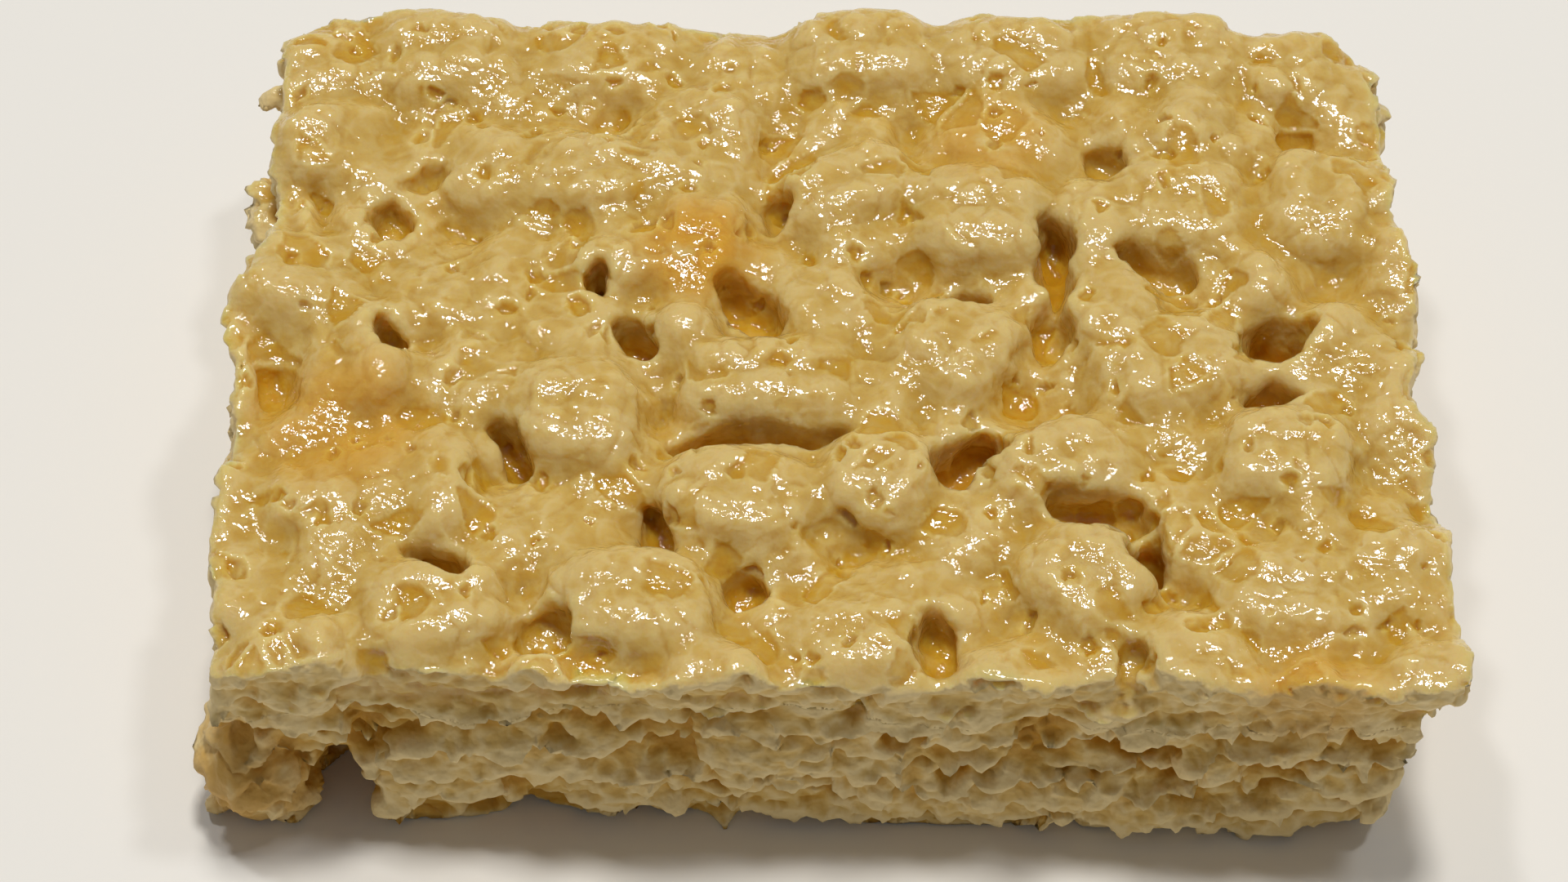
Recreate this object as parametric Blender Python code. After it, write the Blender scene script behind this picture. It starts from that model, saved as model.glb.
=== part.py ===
"""Crisped rice bar: puffed rice grains bound by melted marshmallow, pressed flat and cut to a small slab.

Metres, +Z up. The origin is the middle of the flat underside, +X runs along the length and -Y is the
front cut face. The bar is one solid: a core, with every grain that shows fused to it at its true size.
"""

import math
import random

import bmesh
import bpy
from mathutils import Euler, Matrix, Vector

MM = 0.001

# Driving dimensions of the slab. The grains stand about a millimetre proud of its height.
BAR_LENGTH = 54.6 * MM
BAR_DEPTH = 37.2 * MM
BAR_HEIGHT = 13.0 * MM

# One puffed grain in its coat of marshmallow.
GRAIN_LENGTH = 7.3 * MM
GRAIN_WIDTH = 5.4 * MM
GRAIN_THICKNESS = 3.4 * MM
FLAKE_THICKNESS = 2.6 * MM
SIZE_SPREAD = 0.14
TILT_SPREAD = math.radians(13)

# The grains lie in pressed layers, numbered from the top. Grains of the lower layers show at the sides
# only, where they are flakes. A spacing is a share of a grain's mean width.
LAYER_COUNT = 5
LAYER_PITCH = BAR_HEIGHT / LAYER_COUNT
LAYER_LEVEL = 1.6 * MM
HEIGHT_SPREAD = 0.3 * MM
GRAIN_SPACING = 0.61
FLAKE_SPACING = 0.67
HOLLOW_MARGIN = 0.9 * MM
BACK_ROW = 13.6 * MM
TRIES_PER_LAYER = 2600
RIM_BAND = 1.9 * MM
RIM_OVERHANG = 0.9 * MM
LAYOUT_SEED = 41

# The core that the grains are fused to.
CORE_INSET = 1.1 * MM
CORE_TOP_DROP = 1.3 * MM
CORE_ROUNDING = 1.1 * MM

# Sides of the faceted forms.
GRAIN_SIDES = 6
GRAIN_RINGS = 4
FLAKE_SIDES = 5
FLAKE_RINGS = 3
HOLLOW_SIDES = 6
FACET_JITTER = 0.09

# Grains that stand out on the top: x, y, length, width in mm, turn in degrees, rise in mm.
NAMED_GRAINS = (
    (-23.4, 15.1, 6.4, 5.0, 20, 0.6),
    (-17.4, 16.0, 7.2, 5.4, 0, 0.9),
    (-10.0, 15.8, 7.8, 5.2, -6, 0.6),
    (-3.6, 14.8, 5.4, 5.0, 0, 0.2),
    (1.9, 16.2, 7.4, 5.4, 5, 0.9),
    (9.1, 16.2, 7.8, 5.4, 0, 0.9),
    (16.4, 16.3, 7.2, 5.4, -8, 1.1),
    (21.6, 15.4, 4.8, 5.0, 0, 0.6),
    (24.6, 13.7, 5.4, 5.4, -40, 0.2),
    (1.2, 7.0, 6.9, 4.5, 25, 0.3),
    (7.2, 5.6, 6.4, 5.9, 0, 0.4),
    (12.3, 5.1, 6.1, 2.8, 95, 0.1),
    (16.4, 6.4, 6.1, 5.9, 0, 0.3),
    (22.6, 6.6, 6.1, 5.2, 80, 0.3),
    (-5.5, 3.9, 6.5, 4.5, 80, 0.2),
    (5.9, -1.6, 5.9, 5.6, 60, 0.1),
    (-2.2, -3.7, 8.4, 4.6, 0, 0.2),
    (15.4, -2.6, 7.6, 5.4, 20, 0.4),
    (-10.5, -5.5, 5.8, 5.8, 0, 0.3),
    (10.5, -7.9, 6.1, 4.5, 15, 0.2),
    (20.1, -7.8, 5.9, 5.2, -10, 0.7),
    (-3.5, -9.8, 6.7, 5.2, -10, 0.2),
    (2.6, -8.7, 5.4, 4.8, 75, 0.2),
    (11.3, -13.7, 5.9, 5.4, -40, 0.2),
    (-8.0, -15.3, 7.6, 5.4, -5, 0.3),
    (-16.2, -15.6, 6.3, 5.2, 10, 0.1),
    (20.2, -14.5, 7.8, 5.2, -5, 0.1),
)

# Open gaps that go down between the grains: x, y, length, width in mm, turn in degrees, depth in mm.
HOLLOWS = (
    (-19.4, 5.1, 2.4, 1.8, 75, 3.7),
    (-18.2, 7.7, 2.8, 1.2, 35, 2.0),
    (-18.9, -1.5, 2.3, 1.1, 105, 2.8),
    (-9.9, 1.6, 2.0, 0.9, 100, 4.2),
    (-8.1, -1.4, 2.7, 1.6, -40, 4.6),
    (-2.0, 5.8, 2.4, 1.5, 80, 2.8),
    (-3.0, 0.4, 3.9, 2.0, -45, 3.7),
    (6.5, 1.2, 2.5, 1.2, 5, 4.2),
    (10.5, 3.2, 5.2, 1.4, 95, 4.2),
    (10.3, -0.8, 2.6, 1.8, 80, 3.0),
    (13.0, 9.0, 2.2, 1.7, 110, 2.8),
    (15.0, 2.8, 4.3, 1.7, -28, 3.2),
    (20.3, -1.2, 2.8, 2.4, 90, 5.1),
    (19.9, -4.3, 2.4, 1.4, 0, 4.6),
    (-13.4, -7.0, 3.3, 1.4, -65, 4.2),
    (-2.6, -6.7, 8.9, 1.2, 3, 3.7),
    (6.4, -7.5, 3.7, 2.2, 42, 4.6),
    (12.1, -10.4, 5.2, 1.5, -8, 3.3),
    (13.9, -12.8, 2.2, 1.7, 100, 5.1),
    (-6.8, -11.4, 3.3, 1.2, -70, 3.7),
    (-16.2, -13.2, 3.2, 1.3, -28, 4.2),
    (-3.2, -14.3, 2.3, 1.7, -60, 3.7),
    (0.8, -12.2, 3.3, 2.0, -35, 2.0),
    (-11.4, -16.9, 2.7, 2.4, 60, 3.0),
    (4.9, -17.0, 3.3, 1.9, 100, 3.7),
    (13.3, -18.2, 2.6, 1.5, 85, 4.2),
)

# The grain missing from the front's lower edge, and the lobe beside it: x, z, length, height in mm.
LOWER_GAP = (-20.9, 0.8, 3.8, 5.2)
LOWER_LOBE = (-24.9, 3.5, 4.6, 5.0)
LOWER_GAP_REACH = 2.8 * MM

# The knife's cuts, from the front left corner round by the right: x at the top, y and x at the underside
# in mm. Both ends lean to the left going down.
CUT_OUTLINE = (
    (-25.5, -18.6, -27.2),
    (27.2, -18.6, 24.9),
    (27.2, -6.2, 25.4),
    (25.9, -4.8, 24.6),
    (25.9, -3.0, 24.6),
    (26.5, -1.1, 25.2),
    (26.5, 3.5, 25.2),
    (25.9, 10.1, 24.6),
    (26.2, 15.8, 24.9),
    (24.8, 17.5, 23.5),
    (20.6, 18.6, 19.3),
    (-22.6, 18.6, -23.9),
    (-25.7, 17.2, -27.0),
    (-25.3, 7.2, -26.6),
    (-25.3, 4.7, -26.6),
    (-26.0, 3.9, -27.2),
    (-26.1, -1.1, -27.2),
    (-25.9, -12.2, -27.2),
)

RICE_COLOUR = (0.60, 0.40, 0.15, 1.0)
RICE_ROUGHNESS = 0.32


def clear_scene():
    """Removes what the startup file holds."""
    for thing in list(bpy.data.objects):
        bpy.data.objects.remove(thing, do_unlink=True)


def new_collection(name):
    """A collection for one kind of thing."""
    made = bpy.data.collections.new(name)
    bpy.context.scene.collection.children.link(made)
    return made


def rice_material():
    """Pale golden rice under a glossy coat."""
    material = bpy.data.materials.new("marshmallow_coated_rice")
    material.use_nodes = True
    shader = material.node_tree.nodes["Principled BSDF"]
    shader.inputs["Base Color"].default_value = RICE_COLOUR
    shader.inputs["Roughness"].default_value = RICE_ROUGHNESS
    shader.inputs["Metallic"].default_value = 0.0
    return material


def too_close(place, reach, laid):
    """Whether a grain would sit on one already laid in its layer."""
    return any((place - other[0].xy).length < (reach + other[1]) / 2 for other in laid)


def in_hollow(place, margin):
    """Whether a place on the top lies in one of the open gaps."""
    for x, y, length, width, turn, _depth in HOLLOWS:
        offset = Vector((place.x - x * MM, place.y - y * MM))
        offset.rotate(Matrix.Rotation(-math.radians(turn), 2))
        along = offset.x / (length * MM / 2 + margin)
        across = offset.y / (width * MM / 2 + margin)
        if along * along + across * across < 1:
            return True
    return False


def lay_grains():
    """Each grain as centre, reach, size, turn and layer: the named ones, then every layer filled in."""
    draw = random.Random(LAYOUT_SEED)
    grains = []
    for layer in range(LAYER_COUNT):
        level = BAR_HEIGHT - LAYER_LEVEL - layer * LAYER_PITCH
        laid = []
        if layer == 0:
            for x, y, length, width, turn, rise in NAMED_GRAINS:
                centre = Vector((x * MM, y * MM, level + rise * MM))
                size = Vector((length * MM, width * MM, GRAIN_THICKNESS))
                turning = Euler((0, 0, math.radians(turn)))
                reach = GRAIN_SPACING * (size.x + size.y) / 2
                laid.append((centre, reach, size, turning, layer))
        for _ in range(TRIES_PER_LAYER):
            place = Vector(
                (
                    draw.uniform(-1, 1) * (BAR_LENGTH / 2 + RIM_OVERHANG),
                    draw.uniform(-1, 1) * (BAR_DEPTH / 2 + RIM_OVERHANG),
                )
            )
            scale = 1 + SIZE_SPREAD * draw.uniform(-1, 1)
            thickness = FLAKE_THICKNESS if layer else GRAIN_THICKNESS
            size = scale * Vector((GRAIN_LENGTH, GRAIN_WIDTH, thickness))
            spacing = FLAKE_SPACING if layer else GRAIN_SPACING
            reach = spacing * (size.x + size.y) / 2
            turning = Euler(
                (
                    draw.gauss(0, TILT_SPREAD),
                    draw.gauss(0, TILT_SPREAD),
                    draw.uniform(0, math.pi),
                )
            )
            height = level + draw.uniform(-1, 1) * HEIGHT_SPREAD
            if too_close(place, reach, laid):
                continue
            if layer == 0 and (in_hollow(place, HOLLOW_MARGIN) or place.y > BACK_ROW):
                continue
            laid.append((Vector((place.x, place.y, height)), reach, size, turning, layer))
        grains.extend(laid)
    return grains


def shows(grain):
    """Whether a grain reaches the top or a side of the slab."""
    centre, layer = grain[0], grain[4]
    near_end = BAR_LENGTH / 2 - abs(centre.x) < RIM_BAND
    near_side = BAR_DEPTH / 2 - abs(centre.y) < RIM_BAND
    return layer == 0 or near_end or near_side


def add_form(name, form, collection, place, jitter_draw=None):
    """Turns a bmesh into an object of a collection, placed and with uneven facets."""
    if jitter_draw:
        for vertex in form.verts:
            vertex.co *= 1 + FACET_JITTER * jitter_draw.uniform(-1, 1)
    mesh = bpy.data.meshes.new(name)
    form.transform(place)
    form.to_mesh(mesh)
    form.free()
    made = bpy.data.objects.new(name, mesh)
    collection.objects.link(made)
    return made


def ball_form(sides, rings):
    """A ball of unit width with few sides, its poles along X."""
    form = bmesh.new()
    bmesh.ops.create_uvsphere(form, u_segments=sides, v_segments=rings, radius=0.5)
    form.transform(Matrix.Rotation(math.pi / 2, 4, "Y"))
    return form


def add_grains(collection):
    """Every grain that shows, at its true size."""
    draw = random.Random(LAYOUT_SEED + 1)
    for number, grain in enumerate(filter(shows, lay_grains())):
        centre, _reach, size, turning, layer = grain
        place = Matrix.LocRotScale(centre, turning, size)
        form = ball_form(FLAKE_SIDES, FLAKE_RINGS) if layer else ball_form(GRAIN_SIDES, GRAIN_RINGS)
        add_form(f"grain_{number}", form, collection, place, draw)


def add_lower_lobe(collection):
    """The toasted lobe that hangs at the front's lower left corner."""
    x, z, length, height = (value * MM for value in LOWER_LOBE)
    centre = Vector((x, -BAR_DEPTH / 2 + length / 3, z))
    size = Vector((length, length, height))
    place = Matrix.LocRotScale(centre, Euler((0, 0, 0)), size)
    add_form("lower_lobe", ball_form(GRAIN_SIDES, GRAIN_RINGS), collection, place)


def add_slab(name, inset, low, high, rounding, collection):
    """A block with the knife's leaning sides, set in from them, between two heights."""
    form = bmesh.new()
    shrink_x = 1 - inset / (BAR_LENGTH / 2)
    shrink_y = 1 - inset / (BAR_DEPTH / 2)
    under = []
    over = []
    for top_x, y, under_x in CUT_OUTLINE:
        foot = Vector((under_x * MM * shrink_x, y * MM * shrink_y, 0))
        head = Vector((top_x * MM * shrink_x, y * MM * shrink_y, BAR_HEIGHT))
        under.append(form.verts.new(foot.lerp(head, low / BAR_HEIGHT)))
        over.append(form.verts.new(foot.lerp(head, high / BAR_HEIGHT)))
    form.faces.new(under)
    lid = form.faces.new(over)
    for number in range(len(under)):
        form.faces.new((under[number - 1], under[number], over[number], over[number - 1]))
    bmesh.ops.recalc_face_normals(form, faces=form.faces)
    if rounding:
        bmesh.ops.bevel(form, geom=list(lid.edges), offset=rounding, segments=1, affect="EDGES")
    return add_form(name, form, collection, Matrix.Identity(4))


def add_hollows(collection):
    """The open gaps as uneven tapering plugs, for cutting."""
    draw = random.Random(LAYOUT_SEED + 2)
    for number, (x, y, length, width, turn, depth) in enumerate(HOLLOWS):
        form = bmesh.new()
        bmesh.ops.create_cone(
            form, cap_ends=True, segments=HOLLOW_SIDES, radius1=0.3, radius2=0.62, depth=2.0
        )
        centre = Vector((x * MM, y * MM, BAR_HEIGHT))
        size = Vector((length * MM, width * MM, depth * MM))
        place = Matrix.LocRotScale(centre, Euler((0, 0, math.radians(turn))), size)
        add_form(f"hollow_{number}", form, collection, place, draw)
    x, z, length, height = (value * MM for value in LOWER_GAP)
    form = bmesh.new()
    bmesh.ops.create_uvsphere(form, u_segments=HOLLOW_SIDES, v_segments=GRAIN_RINGS, radius=0.5)
    size = Vector((length, 2 * LOWER_GAP_REACH, height))
    place = Matrix.LocRotScale(Vector((x, -BAR_DEPTH / 2, z)), Euler((0, 0, 0)), size)
    add_form("lower_gap", form, collection, place, draw)


def combine(bar, collection, operation):
    """Joins or cuts the bar with all of a collection at once, then removes the collection's objects."""
    modifier = bar.modifiers.new(operation.lower(), "BOOLEAN")
    modifier.operation = operation
    modifier.operand_type = "COLLECTION"
    modifier.collection = collection
    modifier.solver = "MANIFOLD"
    bpy.context.view_layer.objects.active = bar
    bpy.ops.object.modifier_apply(modifier=modifier.name)
    for thing in list(collection.objects):
        bpy.data.objects.remove(thing, do_unlink=True)
    bpy.data.collections.remove(collection)


def keep_largest_shell(bar):
    """Drops loose scraps and fills the cavities that fusing sealed, which are shells of their own."""
    form = bmesh.new()
    form.from_mesh(bar.data)
    unseen = set(form.verts)
    shells = []
    while unseen:
        shell = {unseen.pop()}
        edge_of_shell = list(shell)
        while edge_of_shell:
            near = {edge.other_vert(vertex) for vertex in edge_of_shell for edge in vertex.link_edges}
            edge_of_shell = list(near & unseen)
            shell.update(edge_of_shell)
            unseen.difference_update(edge_of_shell)
        shells.append(shell)
    largest = max(shells, key=len)
    rest = [vertex for vertex in form.verts if vertex not in largest]
    bmesh.ops.delete(form, geom=rest, context="VERTS")
    form.to_mesh(bar.data)
    form.free()


def centre_on_origin(bar):
    """Puts the middle of the bar's bounding box over the origin."""
    across = [vertex.co.x for vertex in bar.data.vertices]
    along = [vertex.co.y for vertex in bar.data.vertices]
    middle = Vector((min(across) + max(across), min(along) + max(along), 0)) / 2
    bar.data.transform(Matrix.Translation(-middle))


def build():
    """The bar: core, grains fused on, sides cut to the slab, gaps opened."""
    clear_scene()
    part = new_collection("crisped_rice_bar")
    bar = add_slab("rice_bar", CORE_INSET, -CORE_INSET, BAR_HEIGHT - CORE_TOP_DROP, CORE_ROUNDING, part)
    bar.data.materials.append(rice_material())
    grains = new_collection("grains")
    add_grains(grains)
    add_lower_lobe(grains)
    combine(bar, grains, "UNION")
    knife = new_collection("knife")
    add_slab("block", 0, 0, BAR_HEIGHT + GRAIN_THICKNESS, 0, knife)
    combine(bar, knife, "INTERSECT")
    hollows = new_collection("hollows")
    add_hollows(hollows)
    combine(bar, hollows, "DIFFERENCE")
    keep_largest_shell(bar)
    centre_on_origin(bar)


build()
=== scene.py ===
"""Dresses the crisped rice bar: puffed grains run together in marshmallow, with torn cut sides.

The bar is modelled with one unit to the millimetre and shrunk to metres when it is done. All
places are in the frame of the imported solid: +X along the length, -Y the front cut face, +Z up
from the flat underside.
"""

import itertools
import math
import random

import bpy
import numpy as np
from mathutils import Euler, Matrix, Vector


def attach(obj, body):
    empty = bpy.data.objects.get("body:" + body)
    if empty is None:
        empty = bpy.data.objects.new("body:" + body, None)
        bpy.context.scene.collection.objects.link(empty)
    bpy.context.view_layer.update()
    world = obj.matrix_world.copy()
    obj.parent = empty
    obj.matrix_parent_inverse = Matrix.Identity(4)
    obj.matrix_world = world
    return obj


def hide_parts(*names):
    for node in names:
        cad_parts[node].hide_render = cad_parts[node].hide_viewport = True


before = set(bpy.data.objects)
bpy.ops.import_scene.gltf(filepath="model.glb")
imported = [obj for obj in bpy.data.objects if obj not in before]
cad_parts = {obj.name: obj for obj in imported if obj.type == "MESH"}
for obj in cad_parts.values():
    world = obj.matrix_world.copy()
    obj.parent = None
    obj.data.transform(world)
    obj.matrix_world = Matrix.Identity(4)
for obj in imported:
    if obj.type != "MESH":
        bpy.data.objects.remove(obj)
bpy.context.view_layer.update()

MM = 0.001
HALF_LENGTH = 27.3
HALF_DEPTH = 18.6
SLAB_HEIGHT = 13.0

# The knife's cuts, from the front left corner round by the right: x at the top, y and x at the
# underside.
CUT_OUTLINE = (
    (-25.5, -18.6, -27.2),
    (27.2, -18.6, 24.9),
    (27.3, -5.2, 25.4),
    (26.5, -3.9, 24.9),
    (26.3, -2.8, 24.9),
    (26.9, -1.1, 25.6),
    (26.9, 3.5, 25.6),
    (26.3, 10.1, 25.0),
    (26.6, 15.8, 25.3),
    (24.8, 17.5, 23.5),
    (20.6, 18.6, 19.3),
    (-22.6, 18.6, -23.9),
    (-25.7, 17.2, -27.0),
    (-25.3, 7.2, -26.6),
    (-25.3, 4.7, -26.6),
    (-26.0, 3.9, -27.2),
    (-26.1, -1.1, -27.2),
    (-25.9, -12.2, -27.2),
)

# Grains that stand out on the top: x, y, length, width, turn in degrees, rise.
NAMED_GRAINS = (
    (-23.4, 15.1, 6.4, 5.0, 20, 0.3),
    (-17.4, 16.0, 7.2, 5.4, 0, 0.5),
    (-10.0, 15.8, 7.8, 5.2, -6, 0.3),
    (-3.6, 14.8, 5.4, 5.0, 0, 0.2),
    (1.9, 16.2, 7.4, 5.4, 5, 0.9),
    (9.1, 16.2, 7.8, 5.4, 0, 0.8),
    (16.4, 16.3, 7.2, 5.4, -8, 0.9),
    (21.6, 15.4, 4.8, 5.0, 0, 0.6),
    (24.6, 13.7, 5.4, 5.4, -40, 0.2),
    (1.2, 7.9, 6.9, 4.5, 25, 0.3),
    (7.2, 6.5, 6.4, 5.9, 0, 0.4),
    (12.3, 6.0, 6.1, 2.8, 95, 0.1),
    (16.4, 7.3, 6.1, 5.9, 0, 0.3),
    (22.6, 7.5, 6.1, 5.2, 80, 0.3),
    (-5.5, 4.8, 6.5, 4.5, 80, 0.2),
    (5.9, -0.7, 5.9, 5.6, 60, 0.1),
    (-2.2, -2.8, 8.4, 4.6, 0, 0.2),
    (15.4, -1.7, 7.6, 5.4, 20, 0.4),
    (-10.5, -4.6, 5.8, 5.8, 0, 0.3),
    (10.5, -7.0, 6.1, 4.5, 15, 0.2),
    (20.1, -6.9, 5.9, 5.2, -10, 0.7),
    (-3.5, -8.9, 6.7, 5.2, -10, 0.2),
    (2.6, -7.8, 5.4, 4.8, 75, 0.2),
    (11.3, -12.8, 5.9, 5.4, -40, 0.2),
    (-8.0, -14.4, 7.6, 5.4, -5, 0.3),
    (-16.2, -14.7, 6.3, 5.2, 10, 0.1),
    (20.2, -13.6, 7.8, 5.2, -5, 0.1),
)

# Open gaps that go down between the grains: x, y, length, width, turn in degrees, depth.
HOLLOWS = (
    (-19.4, 6.1, 2.4, 1.8, 75, 3.7),
    (-18.2, 8.7, 2.8, 1.2, 35, 2.0),
    (-18.9, -0.5, 2.3, 1.1, 105, 2.8),
    (-9.9, 2.6, 2.0, 0.9, 100, 4.2),
    (-8.1, -0.4, 2.7, 1.6, -40, 4.6),
    (-2.0, 6.8, 2.4, 1.5, 80, 2.8),
    (-3.0, 1.4, 3.9, 2.0, -45, 3.7),
    (6.5, 2.2, 2.5, 1.2, 5, 4.2),
    (10.5, 4.2, 5.2, 1.4, 95, 4.2),
    (10.3, 0.2, 2.6, 1.8, 80, 3.0),
    (13.0, 10.0, 2.2, 1.7, 110, 2.8),
    (15.0, 3.8, 4.3, 1.7, -28, 3.2),
    (20.3, -0.2, 2.8, 2.4, 90, 5.1),
    (19.9, -3.3, 2.4, 1.4, 0, 4.6),
    (-13.4, -6.0, 3.3, 1.4, -65, 4.2),
    (-2.6, -5.7, 8.9, 1.2, 3, 3.7),
    (6.4, -6.5, 3.7, 2.2, 42, 4.6),
    (12.1, -9.4, 5.2, 1.5, -8, 3.3),
    (13.9, -11.8, 2.2, 1.7, 100, 5.1),
    (-6.8, -10.4, 3.3, 1.2, -70, 3.7),
    (-16.2, -12.2, 3.2, 1.3, -28, 4.2),
    (-3.2, -13.3, 2.3, 1.7, -60, 3.7),
    (0.8, -11.2, 3.3, 2.0, -35, 2.0),
    (-11.4, -15.9, 2.7, 2.4, 60, 3.0),
    (4.9, -16.0, 3.3, 1.9, 100, 3.7),
    (13.3, -17.2, 2.6, 1.5, 85, 4.2),
)

# Toasted patches: x, y, z, radius, strength.
TOASTED = (
    (-5.4, 4.0, 13.0, 3.6, 1.0),
    (-20.7, -5.7, 12.5, 4.6, 0.8),
    (7.7, 10.5, 13.0, 3.4, 0.6),
    (-24.6, -18.0, 3.4, 4.0, 0.9),
    (20.5, -18.4, 11.5, 3.6, 0.6),
)

# The top's lumps, laid over a core: named grains at their places and others between them.
LAYOUT_SEED = 41
TRIES_PER_LAYER = 2600
SIZE_SPREAD = 0.14
TILT_SPREAD = math.radians(13)
LUMP_LENGTH = 6.6
LUMP_WIDTH = 5.0
LUMP_THICKNESS = 4.0
LUMP_LEVEL = 11.35
LUMP_SPACING = 0.74
LUMP_OVERHANG = 0.6
LUMP_RISES = (-0.65, 0.1)
NAMED_RISE = 0.1
BACK_ROW = 13.6
BACK_ROW_DROP = 0.65
LOW_LAYER_DROP = 0.75
LOW_LAYER_SPACING = 0.62
CORE_INSET = 1.5
CORE_TOP = 10.9
CORE_BOTTOM = -1.0

# One grain of unit size: how full its shoulders are, and the crease along its upper side.
SHOULDER_POWER = 3.0
CREASE_DEPTH = 0.14
CREASE_WIDTH = 0.09

# The open gaps' plugs: how much wider than listed, how deep, how uneven, and the clear space that
# the lumps leave round them.
HOLLOW_MARGIN = 0.9
HOLLOW_STRETCH = (1.1, 1.15)
HOLLOW_SHARE = 0.7
HOLLOW_SWAY = 0.45
HOLLOW_FLATNESS = (1, 1, 0.35)

# The torn faces that the knife leaves, which lean in a little more under the glazed layer.
KNIFE_REACH = (-3.0, SLAB_HEIGHT + 4)
KNIFE_SWAY = 0.60
KNIFE_GRAIN = 0.12
KNIFE_INSET = 0.25
KNIFE_UNDERCUT = 0.55
UNDERCUT_LEVELS = (10.5, 12.5)

# Rows of broken shells in the cut sides, whole grains behind them, and missing grains. A size has
# its least and its most along each axis, and a droop or turn has a middle and a spread in radians.
CORNER_MARGIN = 2.0
MOST_MARGIN = 0.45
SHELL_ROWS = (0.8, 2.0, 4.0, 6.2, 8.4, 10.4)
SHELL_ROW_SPREAD = 0.7
SHELL_SPACING = 0.75
SHELL_SIZES = ((3.2, 6.2), (2.6, 3.9), (1.1, 2.0))
SHELL_DROOP = (1.12, 0.22)
SHELL_TILTS = (0.22, 0.15)
SHELL_DEPTHS = (0.35, 1.35)
SHELL_TOP_DROP = 2.0
RIM_GRAIN_SPACING = 0.95
RIM_GRAIN_SIZES = ((4.6, 7.0), (3.8, 5.2), (2.0, 3.2))
RIM_GRAIN_TURNS = ((0.15, 0.3), (0, 0.25), (0, 0.5))
RIM_GRAIN_DEPTHS = (1.0, 2.4)
RIM_GRAIN_TOP_DROP = 2.6
EDGE_GAP_SPACING = 7.0
EDGE_GAP_SIZES = ((1.6, 4.2), (2.0, 4.0), (1.2, 3.0))
EDGE_GAP_DEPTH = 0.4
EDGE_GAP_SWAY = 0.5

# The grain missing from the front's lower edge, and the lobe beside it: x, z, length, height.
LOWER_GAP = (-20.6, 1.6, 3.6, 8.6)
LOWER_GAP_DEPTH = 9.0
LOWER_LOBE = (-24.3, 3.5, 4.9, 6.4)
LOBE_INSET = 0.36

# Voxels that forms are melted together with, the fillet of marshmallow in the creases, and the size
# of the finished pieces.
ROUGH_VOXEL = 0.30
SIDE_VOXEL = 0.24
FINE_VOXEL = 0.2
KNIFE_VOXEL = 0.4
PLUG_VOXELS = (0.22, 0.2)
GAP_VOXEL = 0.3
SEAM_VOXEL = 1.0
GLAZE_FILLET = 0.38
MOST_TRIANGLES = 192000

# The wavy seam under the glazed layer, and a box that is larger than the bar.
SEAM_LEVEL = 9.0
SEAM_WAVE = 1.1
SEAM_BAND = 1.0
SEAM_OVERLAP = 0.1
SEAM_BOX_REACH = 6
BOX_LENGTH = 80
BOX_DEPTH = 60

# Patterns: a pitch in millimetres, and a seed or three.
BLISTER_SWIRL = (1.7, (1, 2, 3))
CRUMB_SWIRL = (1.3, (4, 5, 6))
TORN_EDGES = (0.5, (7, 8, 9))
BLISTERS = (1.75, 11)
SMALL_BLISTERS = (0.85, 12)
BEADY_AREAS = (4.0, 13)
RAGGED = (0.9, 14)
FINE = (0.45, 15)
WAVES = (2.6, 16)
ROUGH_AREAS = (5.0, 17)
BROKEN_BUBBLES = (2.0, 21)
SMALL_BUBBLES = (0.7, 24)
STREAKS = (0.5, 25)
FLAKE_BLOCKS = (3.4, 26)
FLAKE_WAVES = (1.7, 27)
PLUG_SWAY = ((0.9, 31), (0.9, 32), (2.0, 33))
GAP_SWAY = (1.3, (34, 35, 36))
KNIFE_WAVES = (3.2, 41)
KNIFE_CRUMBS = (1.0, 42)
PRESSED_GRAINS = (5.2, 51)
PRESSED_WAVES = (1.4, 52)
SEAM_WAVES = (5.0, 61)

# Where the glaze lies: how far in from the cuts or how much the skin faces up, and how high.
GLAZE_INSET = (0.7, 1.5)
GLAZE_FACING = (0.35, 0.75)
GLAZE_LEVELS = (8.6, 10.2)

# Relief of the glazed top in millimetres: blisters, sunken windows, pores, beads and unevenness,
# and the share of the blisters that have fallen in. A pair is where something starts and is full.
BLISTER_HEIGHT = 0.13
BLISTER_REACH = 0.8
BLISTER_NUMBERS = (0.55, 0.8)
BLISTER_CREASE = 0.06
BLISTER_CREASE_EDGE = (0, 0.2)
BLISTER_CREASE_NUMBERS = (0.4, 0.6)
WINDOW_DEPTH = 0.14
WINDOW_SHARE = 0.20
WINDOW_EDGE = (0.10, 0.22)
WINDOW_SWAY = 0.6
PORE_DEPTH = 0.26
PORE_SHARE = 0.06
PORE_EDGE = (0.10, 0.28)
PORE_SWAY = 0.25
BEAD_HEIGHT = 0.05
BEADY_BAND = (-0.3, 0.5)
ROUGH_BAND = (-0.3, 0.4)
CALM_ROUGHNESS = 0.35
GLAZE_RAGGED = 0.09
GLAZE_FINE = 0.06
GLAZE_WAVE = 0.12

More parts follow.
